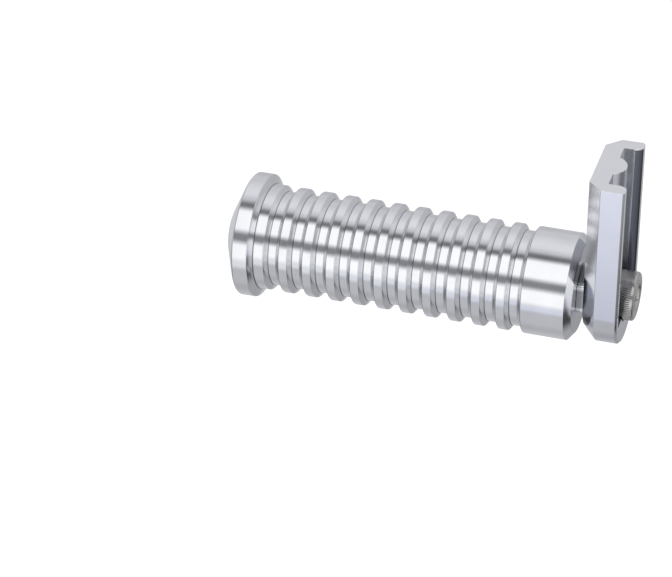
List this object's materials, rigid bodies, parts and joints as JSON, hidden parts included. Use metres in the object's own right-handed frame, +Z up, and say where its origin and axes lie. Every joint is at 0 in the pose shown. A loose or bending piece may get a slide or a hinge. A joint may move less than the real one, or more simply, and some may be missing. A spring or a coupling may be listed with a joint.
{
  "type": "moped footpeg",
  "caption": "Turned footpeg with a grooved grip, end flange and domed tip, held by a socket head screw to a milled bracket with a channelled back.",
  "frame": {"origin": "centre of the mounting hole, in the plane of the channel's floors", "axes": "+X outboard along the peg, +Z up along the bracket from the peg to the mounting hole"},
  "size_m": [0.1116, 0.0336, 0.0553],
  "materials": {
    "peg_aluminium": "turned and bright anodised",
    "bracket_aluminium": "milled and bright anodised",
    "screw_steel": "stainless, knurled head",
    "nut_steel": "stainless"
  },
  "bodies": {
    "root": {"peg_body": "peg_aluminium", "bracket": "bracket_aluminium", "cap_screw": "screw_steel", "jam_nut": "nut_steel"}
  },
  "joints": []
}
